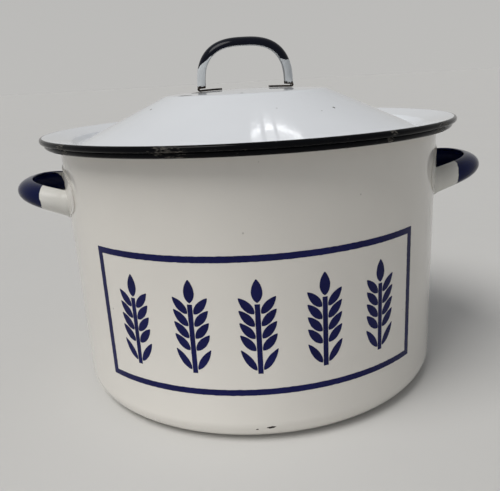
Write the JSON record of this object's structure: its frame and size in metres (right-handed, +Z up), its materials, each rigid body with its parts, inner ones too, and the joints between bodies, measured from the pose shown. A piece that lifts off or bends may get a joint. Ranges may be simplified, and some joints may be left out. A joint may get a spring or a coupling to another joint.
{
  "type": "bread bin",
  "caption": "Round enamelled steel bread bin with rolled rims, looped side handles and a domed lift-off lid with a strap handle.",
  "frame": {"origin": "centre of the bounding box at the base, on the bin's axis and on the surface it stands on", "axes": "+Z up along the bin's axis, X through the two side handles, -Y toward the painted front panel"},
  "size_m": [0.434, 0.3744, 0.3105],
  "materials": {
    "body_enamel": "glossy white vitreous enamel, black on the rolled rim",
    "plate_enamel": "glossy white vitreous enamel",
    "lid_enamel": "glossy white vitreous enamel, black on the rolled rim",
    "navy_enamel": "glossy navy vitreous enamel, white at the legs",
    "lid_handle_enamel": "glossy navy black vitreous enamel, white at the legs",
    "steel_wire": "plain drawn steel wire, hidden in the roll"
  },
  "bodies": {
    "bin": {"bin_shell": "body_enamel", "bin_rim_wire": "steel_wire", "left_handle_plate": "plate_enamel", "left_handle": "navy_enamel", "right_handle_plate": "plate_enamel", "right_handle": "navy_enamel"},
    "lid": {"lid_shell": "lid_enamel", "lid_rim_wire": "steel_wire", "lid_handle": "lid_handle_enamel"}
  },
  "joints": [
    {"name": "lid_lift", "type": "slide", "parent": "bin", "child": "lid", "axis": [0, 0, 1], "range_m": [0, 0.2]}
  ]
}
